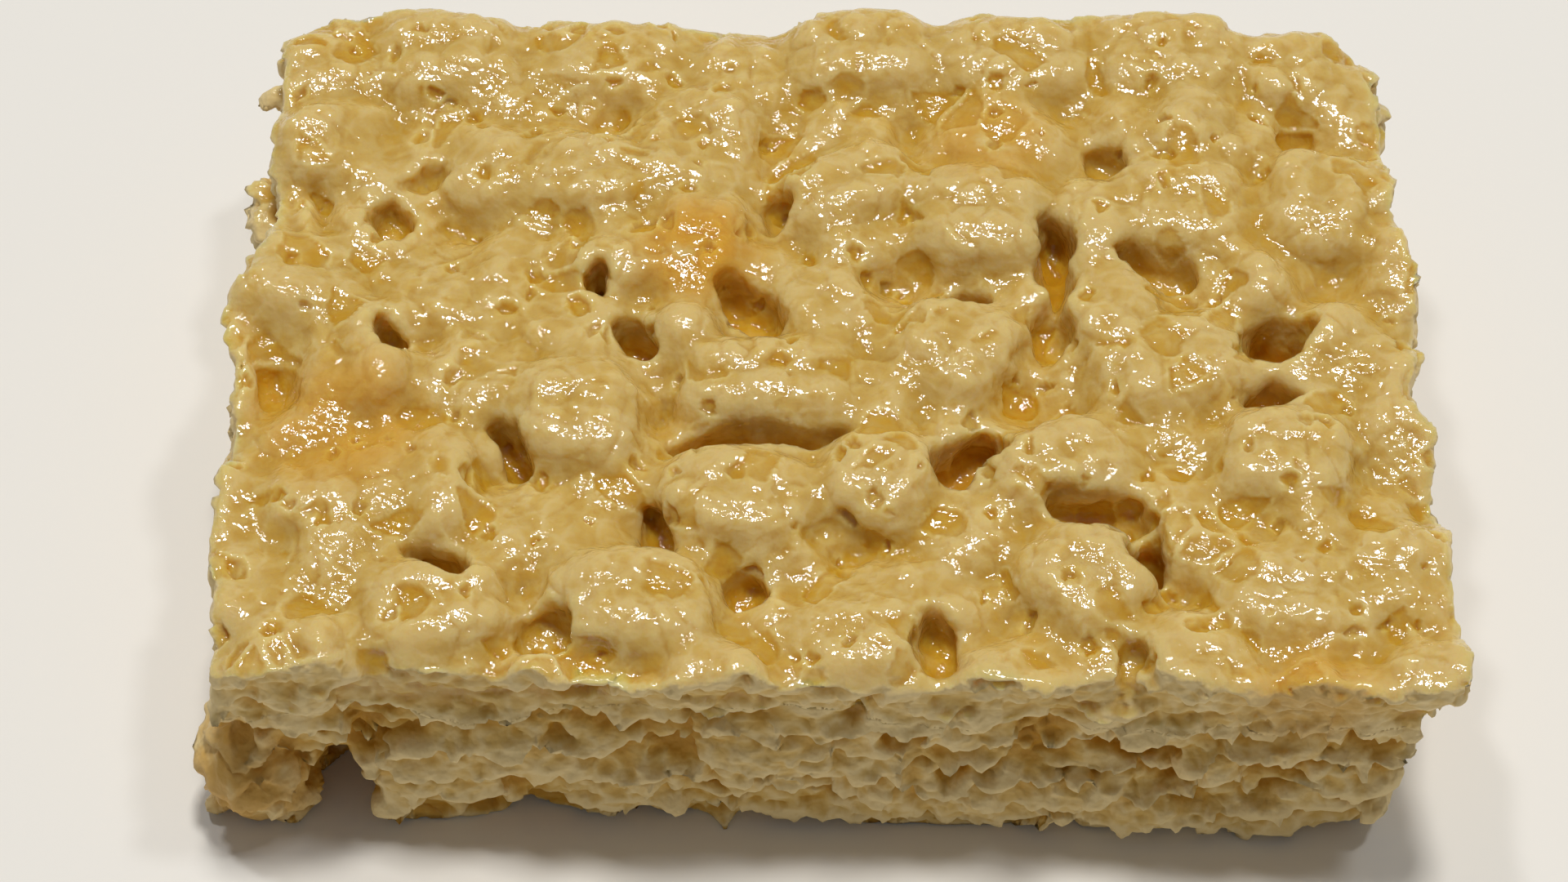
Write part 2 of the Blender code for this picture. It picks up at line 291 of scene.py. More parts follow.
# Relief of the cut sides in millimetres: broken bubbles, unevenness, shingled flakes, torn edges.
BUBBLE_DEPTH = 0.55
BUBBLE_SHARE = 0.10
BUBBLE_EDGE = (0.05, 0.35)
BUBBLE_SWAY = 0.6
BUBBLE_STRETCH = (1.2, 1.2, 0.9)
SMALL_BUBBLE_DEPTH = 0.18
SMALL_BUBBLE_SHARE = 0.12
SMALL_BUBBLE_EDGE = (0.05, 0.3)
SMALL_BUBBLE_SWAY = 0.15
CRUMB_RAGGED = 0.06
CRUMB_FINE = 0.10
CRUMB_STREAKS = 0.08
STREAK_STRETCH = (0.5, 0.5, 1.6)
FLAKE_PITCH = 2.3
FLAKE_RELIEF = 0.8
FLAKE_LIP = 0.10
FLAKE_MIDDLE = 0.45
FLAKE_FADE = 0.6
FLAKE_FADE_LEVELS = (8.5, 10.5)
FLAKE_BLOCK_SWAY = 0.5
ROW_WAVE = 0.30
ROW_RAGGED = 0.16
ROW_FINE = 0.10
TORN_REACH = 0.16
CRUMB_START = (0.0, 0.5)
TORN_START = (0.0, 0.6)

# The underside's open creases between pressed grains, in millimetres.
PRESSED_CREASE = 0.9
PRESSED_CREASE_EDGE = (0.03, 0.30)
PRESSED_HEIGHT = 0.10
PRESSED_SHARE = 0.4
PRESSED_STRETCH = (1.1, 0.9, 1)
PRESSED_SLICE = (0, 0, 3)
PRESSED_FACING = (0.5, 0.9)
UNDERSIDE_LEVEL = 0.6

# Rounds of smoothing: before the relief, and to tell small and wide pits from ridges. The crumb
# takes a share of the first smoothing, and the glaze takes the rest as well.
SOFT_ROUNDS = 3
CRUMB_SOFTNESS = 0.7
GLAZE_SOFTNESS = 0.3
NEAR_ROUNDS = 12
WIDE_ROUNDS = 90

# What is written on the skin for painted shade: how much pits count, and where a place lies deep in
# a gap or a cut.
PIT_MIDDLE = 0.5
PIT_NEAR = 1.3
PIT_NEAR_GLAZE = 1.1
PIT_WIDE = 0.7
SUNK_BELOW = SLAB_HEIGHT - 0.6
SUNK_DEPTHS = (0.8, 3.2)
SUNK_INSET = (0.6, 1.6)
SUNK_CUT_INSET = (0.5, 2.2)
PRESSED_PAINT_FACING = (0.3, 0.8)
PRESSED_PAINT_LEVEL = 1.2
TOAST_STRETCH = (1, 1, 0.7)
TOAST_EDGE = (0.3, 1.1)

# The camera at the photograph's place.
CAMERA_ELEVATION = math.radians(54.77)
CAMERA_ROLL = math.radians(0.71)
CAMERA_DISTANCE = 0.16652
CAMERA_TARGET = Vector((-0.00152, -0.00174, 0.0065))
CAMERA_LENS = 84.47
SENSOR_WIDTH = 36
NEAREST_SEEN = 0.005

# Lamps: name, place, size, power, colour. The room's own light is dim.
LAMPS = (
    ("over", (0.03, 0.08, 0.6), 0.08, 1.9, (1, 0.97, 0.92)),
    ("lamp_left", (-0.17, 0.20, 0.6), 0.05, 0.65, (0.97, 0.98, 1)),
    ("lamp_right", (0.20, 0.05, 0.6), 0.05, 0.5, (0.97, 0.98, 1)),
)
ROOM_COLOUR = (1.0, 0.97, 0.93, 1)
ROOM_STRENGTH = 0.17
TABLE_SIZE = 3
TABLE_COLOUR = (0.85, 0.835, 0.795)
TABLE_ROUGHNESS = 0.6

# Colours from the ridges down to the pits, on the glaze and on the cut crumb, and where toasted.
# The darker amber stops in pits, gaps and cut hollows are painted shade.
GLAZE_STOPS = (
    (0.00, (0.69, 0.52, 0.21)),
    (0.20, (0.65, 0.455, 0.135)),
    (0.42, (0.61, 0.39, 0.080)),
    (0.68, (0.62, 0.36, 0.030)),
    (1.00, (0.62, 0.31, 0.012)),
)
CRUMB_STOPS = (
    (0.00, (0.86, 0.67, 0.33)),
    (0.28, (0.72, 0.49, 0.15)),
    (0.50, (0.62, 0.36, 0.060)),
    (0.75, (0.54, 0.27, 0.020)),
)
TOASTED_GLAZE = (0.66, 0.36, 0.04, 1)
TOASTED_CRUMB = (0.66, 0.38, 0.08, 1)

# Patterns in the finish: size in metres, detail and roughness.
MOTTLE = (0.0022, 3.0, 0.6)
SPECKLE = (0.0007, 2.0, 0.5)
GLINTS = (0.00042, 1.5, 0.5)
GLINT_HEIGHT = 0.00012
BUBBLE_SIZE = 0.0012
BUBBLE_WALL = (0.02, 0.22)

# How much each value on the skin and each pattern counts in the depth that the colours follow. The
# pit, sunk and window values are painted shade in recesses; the mottle, speckle and bubble patterns
# are the rice's own uneven tone.
PIT_SHADE = 0.62
SUNK_SHADE = 0.62
WINDOW_SHADE = 0.24
MOTTLE_SHADE = 0.50
SPECKLE_SHADE = 0.24
BUBBLE_SHADE = 0.15
SHADE_START = 0.48
BUBBLE_START = 0.05
TOAST_MOTTLE = (0.25, 0.5)

# The clear coat of the top and the dull crumb of the cuts.
GLAZE_ROUGHNESS = 0.10
GLAZE_GLOSS = 0.8
GLOW_RADIUS = (1.0, 0.83, 0.45)
GLOW_REACH = 0.0017
CRUMB_ROUGHNESS = 0.55
CRUMB_GLOSS = 0.3


# Handling of meshes


def deselect():
    """Leaves nothing selected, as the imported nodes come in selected."""
    bpy.ops.object.select_all(action="DESELECT")


def selected_alone(thing):
    """Makes one object the active and only selected one."""
    deselect()
    thing.select_set(True)
    bpy.context.view_layer.objects.active = thing


def modify(thing, kind, **settings):
    """Adds a modifier, sets it and applies it."""
    modifier = thing.modifiers.new(kind.lower(), kind)
    for name, value in settings.items():
        setattr(modifier, name, value)
    selected_alone(thing)
    bpy.ops.object.modifier_apply(modifier=modifier.name)


def in_edit_mode(thing, *steps):
    """Runs edit-mode operators on the whole of a mesh."""
    selected_alone(thing)
    bpy.ops.object.mode_set(mode="EDIT")
    bpy.ops.mesh.select_all(action="SELECT")
    for step in steps:
        step()
    bpy.ops.object.mode_set(mode="OBJECT")


def joined(name, things):
    """Joins objects into one."""
    deselect()
    for thing in things:
        thing.select_set(True)
    bpy.context.view_layer.objects.active = things[0]
    bpy.ops.object.join()
    things[0].name = name
    return things[0]


def copied(thing, name, place):
    """A copy with its own mesh, placed in that mesh."""
    made = bpy.data.objects.new(name, thing.data.copy())
    made.data.transform(place)
    bpy.context.scene.collection.objects.link(made)
    return made


def remove(thing):
    """Takes an object out of the scene."""
    bpy.data.objects.remove(thing, do_unlink=True)


def fused(thing, voxel):
    """Melts overlapping closed forms into one skin."""
    modify(thing, "REMESH", mode="VOXEL", voxel_size=voxel, adaptivity=0.0)


def carve(thing, cutter, operation):
    """Cuts with a closed form, which is then removed."""
    modify(thing, "BOOLEAN", operation=operation, object=cutter, solver="MANIFOLD")
    remove(cutter)


def points_of(thing):
    """The places of a mesh's vertices."""
    places = np.empty(len(thing.data.vertices) * 3, np.float32)
    thing.data.vertices.foreach_get("co", places)
    return places.reshape(-1, 3).astype(float)


def normals_of(thing):
    """The directions that a mesh's vertices face."""
    facing = np.empty(len(thing.data.vertices) * 3, np.float32)
    thing.data.vertices.foreach_get("normal", facing)
    return facing.reshape(-1, 3).astype(float)


def edges_of(thing):
    """The first and the second vertex of each edge of a mesh."""
    ends = np.empty(len(thing.data.edges) * 2, np.int32)
    thing.data.edges.foreach_get("vertices", ends)
    return ends.reshape(-1, 2).T


def place_points(thing, places):
    """Moves a mesh's vertices to new places."""
    thing.data.vertices.foreach_set("co", places.astype(np.float32).ravel())
    thing.data.update()


def move_out(thing, places, distance):
    """Moves a mesh's vertices out along the directions that they face."""
    place_points(thing, places + normals_of(thing) * distance[:, None])


def write_values(thing, name, values):
    """Stores one number for each vertex."""
    attribute = thing.data.attributes.new(name, "FLOAT", "POINT")
    attribute.data.foreach_set("value", values.astype(np.float32))


def smoothed_places(thing, rounds):
    """Where the vertices come to rest when the skin is smoothed, for telling pits from ridges."""
    places = points_of(thing)
    first, second = edges_of(thing)
    count = np.bincount(first, minlength=len(places))
    count = count + np.bincount(second, minlength=len(places))
    for _ in range(rounds):
        for axis in range(3):
            along = places[:, axis]
            total = np.bincount(first, along[second], len(places))
            total += np.bincount(second, along[first], len(places))
            places[:, axis] = 0.5 * along + 0.5 * total / count
    return places


def keep_largest(thing):
    """Deletes the loose bits and closed-in voids, and leaves the largest shell."""
    first, second = edges_of(thing)
    shell = np.arange(len(thing.data.vertices))
    while True:
        lowest = shell.copy()
        np.minimum.at(lowest, first, shell[second])
        np.minimum.at(lowest, second, shell[first])
        lowest = lowest[lowest]
        if np.array_equal(lowest, shell):
            break
        shell = lowest
    loose = shell != np.bincount(shell).argmax()
    thing.data.vertices.foreach_set("select", loose)
    thing.data.edges.foreach_set("select", loose[first])
    selected_alone(thing)
    bpy.ops.object.mode_set(mode="EDIT")
    bpy.ops.mesh.select_mode(type="VERT")
    bpy.ops.mesh.delete(type="VERT")
    bpy.ops.object.mode_set(mode="OBJECT")


# Patterns over the skin


def smooth_step(values, low, high):
    """Rises from 0 at one value to 1 at another."""
    share = np.clip((values - low) / (high - low), 0, 1)
    return share * share * (3 - 2 * share)


def cell_numbers(cells, seed):
    """Three random numbers from 0 to 1 for each whole-numbered cell."""
    key = cells.astype(np.int64)
    value = key[:, 0] * 73856093 ^ key[:, 1] * 19349663 ^ key[:, 2] * 83492791 ^ seed * 2654435761
    value &= 0xFFFFFFFF
    for _ in range(2):
        value = (((value >> 16) ^ value) * 0x45D9F3B) & 0xFFFFFFFF
    value = (value >> 16) ^ value
    return np.stack([value & 1023, (value >> 10) & 1023, (value >> 20) & 1023], axis=1) / 1023


def drift(places, pitch, seed):
    """Smooth random values from -1 to 1 that change over a pitch."""
    scaled = places / pitch
    home = np.floor(scaled)
    part = scaled - home
    part = part * part * (3 - 2 * part)
    total = np.zeros(len(places))
    for corner in itertools.product((0, 1), repeat=3):
        share = np.where(corner, part, 1 - part)
        total += share[:, 0] * share[:, 1] * share[:, 2] * cell_numbers(home + corner, seed)[:, 0]
    return total * 2 - 1


def swirl(places, pitch, seeds):
    """A smooth random direction for each place."""
    return np.stack([drift(places, pitch, seed) for seed in seeds], axis=1)


def cells_at(places, pitch, seed, stretch=(1, 1, 1)):
    """Distance to the nearest cell's middle, how much further the next one is, and its number."""
    scaled = places / (pitch * np.array(stretch))
    home = np.floor(scaled)
    nearest = np.full(len(places), 9.0)
    second = np.full(len(places), 9.0)
    number = np.zeros(len(places))
    for step in itertools.product((-1, 0, 1), repeat=3):
        cell = home + step
        middle = cell_numbers(cell, seed)
        offset = cell + middle - scaled
        distance = np.sqrt(np.einsum("ij,ij->i", offset, offset))
        closer = distance < nearest
        second = np.where(closer, nearest, np.minimum(second, distance))
        number = np.where(closer, (middle[:, 0] * 7.1 + middle[:, 1] * 3.7) % 1, number)
        nearest = np.where(closer, distance, nearest)
    return nearest, second - nearest, number


# Lumps, shells and cuts


def in_hollow(place):
    """Whether a place on the top lies in one of the open gaps."""
    for x, y, length, width, turn, _depth in HOLLOWS:
        offset = Vector((place.x - x, place.y - y))
        offset.rotate(Matrix.Rotation(-math.radians(turn), 2))
        along = offset.x / (length / 2 + HOLLOW_MARGIN)
        across = offset.y / (width / 2 + HOLLOW_MARGIN)
        if along * along + across * across < 1:
            return True
    return False


def too_close(place, reach, laid):
    """Whether a lump would sit on one that is already laid in its layer."""
    return any((place - other).length < (reach + other_reach) / 2 for other, other_reach in laid)


def lay_named_grains():
    """The grains that stand out, as centre, size and turn."""
    grains = []
    for x, y, length, width, turn, rise in NAMED_GRAINS:
        drop = BACK_ROW_DROP if y > BACK_ROW else 0
        centre = Vector((x, y, LUMP_LEVEL + NAMED_RISE + rise - drop))
        size = Vector((length, width, LUMP_THICKNESS))
        grains.append((centre, size, Euler((0, 0, math.radians(turn)))))
    return grains


def lay_layer(draw, level, spacing, laid, is_free):
    """Lumps at random over the slab, clear of those already laid and only where it is free."""
    lumps = []
    for _ in range(TRIES_PER_LAYER):
        x = draw.uniform(-1, 1) * (HALF_LENGTH + LUMP_OVERHANG)
        y = draw.uniform(-1, 1) * (HALF_DEPTH + LUMP_OVERHANG)
        scale = 1 + SIZE_SPREAD * draw.uniform(-1, 1)
        size = scale * Vector((LUMP_LENGTH, LUMP_WIDTH, LUMP_THICKNESS))
        tilt = (draw.gauss(0, TILT_SPREAD), draw.gauss(0, TILT_SPREAD))
        turning = Euler((*tilt, draw.uniform(0, math.pi)))
        height = level + draw.uniform(*LUMP_RISES)
        reach = spacing * (size.x + size.y) / 2
        place = Vector((x, y))
        if too_close(place, reach, laid) or not is_free(place):
            continue
        laid.append((place, reach))
        lumps.append((Vector((x, y, height)), size, turning))
    return lumps


def lay_lumps():
    """The top's lumps and the layer that shows between them, each as centre, size and turn."""
    draw = random.Random(LAYOUT_SEED)
    named = lay_named_grains()
    laid = [
        (Vector((x, y)), LUMP_SPACING * (length + width) / 2)
        for x, y, length, width, _turn, _rise in NAMED_GRAINS
    ]

    def is_free(place):
        return not in_hollow(place) and place.y <= BACK_ROW

    top = lay_layer(draw, LUMP_LEVEL, LUMP_SPACING, laid, is_free)
    low_level = LUMP_LEVEL - LOW_LAYER_DROP
    low = lay_layer(draw, low_level, LOW_LAYER_SPACING, [], lambda place: True)
    return named + top + low


def model_grain():
    """One puffed grain of unit size: a long ball with full shoulders and a crease along its top."""
    deselect()
    bpy.ops.mesh.primitive_ico_sphere_add(subdivisions=4, radius=0.5)
    grain = bpy.context.object
    places = points_of(grain) * 2
    reach = (np.abs(places) ** SHOULDER_POWER).sum(axis=1) ** (1 / SHOULDER_POWER)
    places *= (0.5 / reach)[:, None]
    _x, y, z = places.T
    crease = CREASE_DEPTH * z * np.exp(-((y / CREASE_WIDTH) ** 2))
    places[:, 2] -= np.where(z > 0, crease, 0)
    place_points(grain, places)
    return grain


def add_block(name, inset, low, high):
    """A block with the knife's leaning sides, set in from them, between two heights."""
    deselect()
    count = len(CUT_OUTLINE)
    bpy.ops.mesh.primitive_circle_add(vertices=count, radius=1, fill_type="NGON")
    block = bpy.context.object
    block.name = name
    shrink = (1 - inset / HALF_LENGTH, 1 - inset / HALF_DEPTH)

    def outline(height):
        share = height / SLAB_HEIGHT
        return [
            ((under_x + (top_x - under_x) * share) * shrink[0], y * shrink[1], height)
            for top_x, y, under_x in CUT_OUTLINE
        ]

    for vertex, place in zip(block.data.vertices, outline(low)):
        vertex.co = place
    in_edit_mode(block, bpy.ops.mesh.extrude_region_move)
    for vertex, place in zip(block.data.vertices[count:], outline(high)):
        vertex.co = place
    in_edit_mode(block, lambda: bpy.ops.mesh.normals_make_consistent(inside=False))
    return block


def places_along_cuts(draw, spacing):
    """Random places on the knife's cuts: the place, the way in, and the turn of the cut."""
    corners = [Vector((top, y)) for top, y, _under in CUT_OUTLINE]
    leans = [(under - top) / SLAB_HEIGHT for top, _y, under in CUT_OUTLINE]
    for number, start in enumerate(corners):
        side = corners[(number + 1) % len(corners)] - start
        inward = Vector((-side.y, side.x, 0)).normalized()
        for _ in range(max(1, round(side.length / spacing))):
            margin = min(MOST_MARGIN, CORNER_MARGIN / side.length)
            along = start + side * draw.uniform(margin, 1 - margin)
            height = draw.choice(SHELL_ROWS) + draw.gauss(0, SHELL_ROW_SPREAD)
            x = along.x + leans[number] * (SLAB_HEIGHT - height)
            yield Vector((x, along.y, height)), inward, math.atan2(side.y, side.x)


def drawn_size(draw, limits):
    """A random size within limits along each axis."""
    return Vector([draw.uniform(least, most) for least, most in limits])


def lay_rim_grains():
    """Whole grains just behind the cuts, which the knife trims."""
    draw = random.Random(LAYOUT_SEED + 4)
    grains = []
    for place, inward, facing in places_along_cuts(draw, RIM_GRAIN_SPACING):
        centre = place + inward * draw.uniform(*RIM_GRAIN_DEPTHS)
        centre.z = min(centre.z, SLAB_HEIGHT - RIM_GRAIN_TOP_DROP)
        size = drawn_size(draw, RIM_GRAIN_SIZES)
        turning = Euler([draw.gauss(middle, spread) for middle, spread in RIM_GRAIN_TURNS])
        turning.rotate(Euler((0, 0, facing)))
        grains.append((centre, size, turning))
    return grains


def rough_body():
    """Core, lumps and rim grains run together, with a fillet of marshmallow in every crease."""
    grain = model_grain()
    forms = [add_block("core", CORE_INSET, CORE_BOTTOM, CORE_TOP)]
    for centre, size, turning in lay_lumps() + lay_rim_grains():
        forms.append(copied(grain, "lump", Matrix.LocRotScale(centre, turning, size)))
    remove(grain)
    body = joined("body", forms)
    fused(body, ROUGH_VOXEL)
    modify(body, "DISPLACE", strength=GLAZE_FILLET, mid_level=0.0)
    fused(body, ROUGH_VOXEL)
    modify(body, "DISPLACE", strength=-GLAZE_FILLET, mid_level=0.0)
    return body


def hollow_cutters():
    """The open gaps between grains, as uneven plugs that widen upwards."""
    deselect()
    bpy.ops.mesh.primitive_cone_add(vertices=28, radius1=0.42, radius2=0.54, depth=2.0)
    plug = bpy.context.object
    in_edit_mode(plug, lambda: bpy.ops.mesh.subdivide(number_cuts=1))
    longer, wider = HOLLOW_STRETCH
    forms = []
    for x, y, length, width, turn, depth in HOLLOWS:
        centre = Vector((x, y, SLAB_HEIGHT))
        turning = Euler((0, 0, math.radians(turn)))
        size = Vector((length * longer, width * wider, depth * HOLLOW_SHARE))
        forms.append(copied(plug, "plug", Matrix.LocRotScale(centre, turning, size)))
    remove(plug)
    cutters = joined("cutters", forms)
    fused(cutters, PLUG_VOXELS[0])
    places = points_of(cutters)
    upright = places * HOLLOW_FLATNESS
    seen = (upright, upright, places)
    sway = [drift(spots, *pattern) for spots, pattern in zip(seen, PLUG_SWAY)]
    place_points(cutters, places + HOLLOW_SWAY * np.stack(sway, axis=1))
    fused(cutters, PLUG_VOXELS[1])
    return cutters


def torn_knife():
    """The block that the knife leaves, with faces as uneven as a torn crumb."""
    block = add_block("knife", 0, *KNIFE_REACH)
    fused(block, KNIFE_VOXEL)
    places = points_of(block)
    tear = KNIFE_SWAY * drift(places, *KNIFE_WAVES) + KNIFE_GRAIN * drift(places, *KNIFE_CRUMBS)
    tear -= KNIFE_INSET + KNIFE_UNDERCUT * (1 - smooth_step(places[:, 2], *UNDERCUT_LEVELS))
    move_out(block, places, tear)
    return block


def side_shells():
    """Broken shells that droop down the cut sides in rows, and the lobe at the lower left."""
    draw = random.Random(LAYOUT_SEED + 5)
    deselect()
    bpy.ops.mesh.primitive_ico_sphere_add(subdivisions=2, radius=0.5)
    flake = bpy.context.object
    forms = []
    for place, inward, facing in places_along_cuts(draw, SHELL_SPACING):
        size = drawn_size(draw, SHELL_SIZES)
        droop = draw.gauss(*SHELL_DROOP)
        depth = 0.5 * size.y * math.cos(droop) + draw.uniform(*SHELL_DEPTHS)
        centre = place + inward * depth
        centre.z = min(centre.z, SLAB_HEIGHT - SHELL_TOP_DROP)
        turning = Euler([droop] + [draw.gauss(0, spread) for spread in SHELL_TILTS])
        turning.rotate(Euler((0, 0, facing)))
        forms.append(copied(flake, "shell", Matrix.LocRotScale(centre, turning, size)))
    x, z, length, height = LOWER_LOBE
    centre = Vector((x, -HALF_DEPTH + LOBE_INSET * length, z))
    size = Vector((length, length, height))
    forms.append(copied(flake, "lobe", Matrix.LocRotScale(centre, Euler((0, 0, 0)), size)))
    remove(flake)
    return joined("shells", forms)


def gap_cutter():
    """The places where grains are missing along the lower edge, the largest at the front left."""
    draw = random.Random(LAYOUT_SEED + 6)
    deselect()
    bpy.ops.mesh.primitive_ico_sphere_add(subdivisions=3, radius=0.5)
    ball = bpy.context.object
    x, z, length, height = LOWER_GAP
    spots = [(Vector((x, -HALF_DEPTH, z)), 0, Vector((length, LOWER_GAP_DEPTH, height)))]
    for place, inward, facing in places_along_cuts(draw, EDGE_GAP_SPACING):
        size = drawn_size(draw, EDGE_GAP_SIZES)
        centre = Vector((place.x, place.y, 0)) + inward * EDGE_GAP_DEPTH
        spots.append((centre, facing, size))
    forms = [
        copied(ball, "gap", Matrix.LocRotScale(spot, Euler((0, 0, turn)), size))
        for spot, turn, size in spots
    ]
    remove(ball)
    gaps = joined("gaps", forms)
    fused(gaps, GAP_VOXEL)
    places = points_of(gaps)
    place_points(gaps, places + EDGE_GAP_SWAY * swirl(places, *GAP_SWAY))
    return gaps


def level_underside(body):
    """Cuts the body off flat at the table."""
    deselect()
    bpy.ops.mesh.primitive_cube_add(size=BOX_LENGTH, location=(0, 0, BOX_LENGTH / 2))
    space = bpy.context.object
    bpy.ops.object.transform_apply(location=True, rotation=False, scale=False)
    carve(body, space, "INTERSECT")


# Relief


def inset_of(places):
    """How far each place lies inside the knife's cuts."""
    x, y, z = places.T
    right = sorted((point[1], point[0], point[2]) for point in CUT_OUTLINE if point[0] > 0)
    left = sorted((point[1], point[0], point[2]) for point in CUT_OUTLINE if point[0] < 0)
    share = z / SLAB_HEIGHT
    limits = []
    for side in (left, right):
        along, top, under = np.array(side).T
        at_top = np.interp(y, along, top)
        at_base = np.interp(y, along, under)
        limits.append(at_base + (at_top - at_base) * share)
    return np.minimum.reduce([x - limits[0], limits[1] - x, y + HALF_DEPTH, HALF_DEPTH - y])


def glazed_share(places, facing):
    """1 on the glazed top and in its gaps, 0 on the cut sides."""
    inside = smooth_step(inset_of(places), *GLAZE_INSET)
    upward = smooth_step(facing[:, 2], *GLAZE_FACING)
    return smooth_step(places[:, 2], *GLAZE_LEVELS) * np.maximum(inside, upward)


def windows_at(places):
    """Blisters' middles, edges and numbers, small blisters' middles, and the windows and pores."""
    sway = swirl(places, *BLISTER_SWIRL)
    reach, edge, number = cells_at(places + WINDOW_SWAY * sway, *BLISTERS)
    window = smooth_step(edge, *WINDOW_EDGE) * (number < WINDOW_SHARE)
    small_reach, small_edge, small_number = cells_at(places + PORE_SWAY * sway, *SMALL_BLISTERS)
    pore = smooth_step(small_edge, *PORE_EDGE) * (small_number < PORE_SHARE)
    return reach, edge, number, window, small_reach, pore


def glaze_relief(places, ragged, fine):
    """Blisters, windows, pores and beads of the glazed top."""
    reach, edge, number, window, small_reach, pore = windows_at(places)
    dome = np.clip(1 - (reach / BLISTER_REACH) ** 2, 0, 1)
    swollen = smooth_step(number, *BLISTER_NUMBERS)
    creased = 1 - smooth_step(edge, *BLISTER_CREASE_EDGE)
    creased *= smooth_step(number, *BLISTER_CREASE_NUMBERS)
    relief = BLISTER_HEIGHT * dome * swollen - BLISTER_CREASE * creased
    relief -= WINDOW_DEPTH * window + PORE_DEPTH * pore
    beady = smooth_step(drift(places, *BEADY_AREAS), *BEADY_BAND)
    relief += BEAD_HEIGHT * beady * np.clip(1 - (small_reach / BLISTER_REACH) ** 2, 0, 1)
    rough = smooth_step(drift(places, *ROUGH_AREAS), *ROUGH_BAND)
    rough = CALM_ROUGHNESS + (1 - CALM_ROUGHNESS) * rough
    relief += rough * (GLAZE_RAGGED * ragged + GLAZE_FINE * fine)
    return relief + GLAZE_WAVE * drift(places, *WAVES)


def crumb_relief(places, ragged, fine):
    """Broken bubbles, ragged crumbs and shingled flakes of the cut sides."""
    height = places[:, 2]
    sway = swirl(places, *CRUMB_SWIRL)
    swayed = places + BUBBLE_SWAY * sway
    _reach, edge, number = cells_at(swayed, *BROKEN_BUBBLES, stretch=BUBBLE_STRETCH)
    relief = -BUBBLE_DEPTH * smooth_step(edge, *BUBBLE_EDGE) * (number < BUBBLE_SHARE)
    _reach, edge, number = cells_at(places + SMALL_BUBBLE_SWAY * sway, *SMALL_BUBBLES)
    broken = smooth_step(edge, *SMALL_BUBBLE_EDGE) * (number < SMALL_BUBBLE_SHARE)
    relief -= SMALL_BUBBLE_DEPTH * broken
    streaks = drift(places * STREAK_STRETCH, *STREAKS)
    relief += CRUMB_RAGGED * ragged + CRUMB_FINE * fine + CRUMB_STREAKS * streaks
    _reach, _edge, block = cells_at(places + FLAKE_BLOCK_SWAY * sway, *FLAKE_BLOCKS)
    row = height / FLAKE_PITCH + block + ROW_WAVE * drift(places, *FLAKE_WAVES)
    row += ROW_RAGGED * ragged + ROW_FINE * fine
    share = row - np.floor(row)
    flake_height = FLAKE_RELIEF * (1 - FLAKE_FADE * smooth_step(height, *FLAKE_FADE_LEVELS))
    relief += flake_height * (smooth_step(share, 0.0, FLAKE_LIP) * (1 - share) - FLAKE_MIDDLE)
    return relief * smooth_step(height, *CRUMB_START)


def press_relief(body):
    """Softens the skin, then raises and sinks it as glaze on the top and as crumb on the sides."""
    places = points_of(body)
    glazed = glazed_share(places, normals_of(body))
    soft = smoothed_places(body, SOFT_ROUNDS)
    places += (soft - places) * (CRUMB_SOFTNESS + GLAZE_SOFTNESS * glazed)[:, None]
    place_points(body, places)
    ragged = drift(places, *RAGGED)
    fine = drift(places, *FINE)
    glaze = glaze_relief(places, ragged, fine)
    crumb = crumb_relief(places, ragged, fine)
    move_out(body, places, glaze * glazed + crumb * (1 - glazed))
    torn = TORN_REACH * (1 - glazed) * smooth_step(places[:, 2], *TORN_START)
    place_points(body, points_of(body) + swirl(places, *TORN_EDGES) * torn[:, None])


def press_underside(body):
    """Flattens the underside where the grains were pressed, with open creases between them."""
    places = points_of(body)
    facing = normals_of(body)
    level = places * (1, 1, 0) + PRESSED_SLICE
    _reach, edge, number = cells_at(level, *PRESSED_GRAINS, stretch=PRESSED_STRETCH)
    crease = 1 - smooth_step(edge, *PRESSED_CREASE_EDGE)
    raised = (1 + drift(places, *PRESSED_WAVES)) * (number > PRESSED_SHARE)
    down = smooth_step(-facing[:, 2], *PRESSED_FACING) * (places[:, 2] < UNDERSIDE_LEVEL)
    places[:, 2] += down * (PRESSED_CREASE * crease + PRESSED_HEIGHT * raised)
    places[:, 2] = np.maximum(places[:, 2], 0)
    place_points(body, places)


def model_bar():
    """The whole bar as one closed skin."""
    body = rough_body()
    carve(body, hollow_cutters(), "DIFFERENCE")
    carve(body, torn_knife(), "INTERSECT")
    body = joined("body", [body, side_shells()])
    fused(body, SIDE_VOXEL)
    carve(body, gap_cutter(), "DIFFERENCE")
    level_underside(body)
    fused(body, FINE_VOXEL)
    keep_largest(body)
    press_relief(body)
    press_underside(body)
    return body


def seam_box(low, high):
    """A box that takes in the bar between two heights, wavy where it meets the seam."""
    deselect()
    bpy.ops.mesh.primitive_cube_add(size=1)
    box = bpy.context.object
    size = (BOX_LENGTH, BOX_DEPTH, high - low)
    place_points(box, points_of(box) * size + (0, 0, (high + low) / 2))
    fused(box, SEAM_VOXEL)
    places = points_of(box)
    wave = SEAM_WAVE * drift(places * (1, 1, 0), *SEAM_WAVES)
    places[:, 2] += wave * (np.abs(places[:, 2] - SEAM_LEVEL) < SEAM_BAND)
    place_points(box, places)
    return box


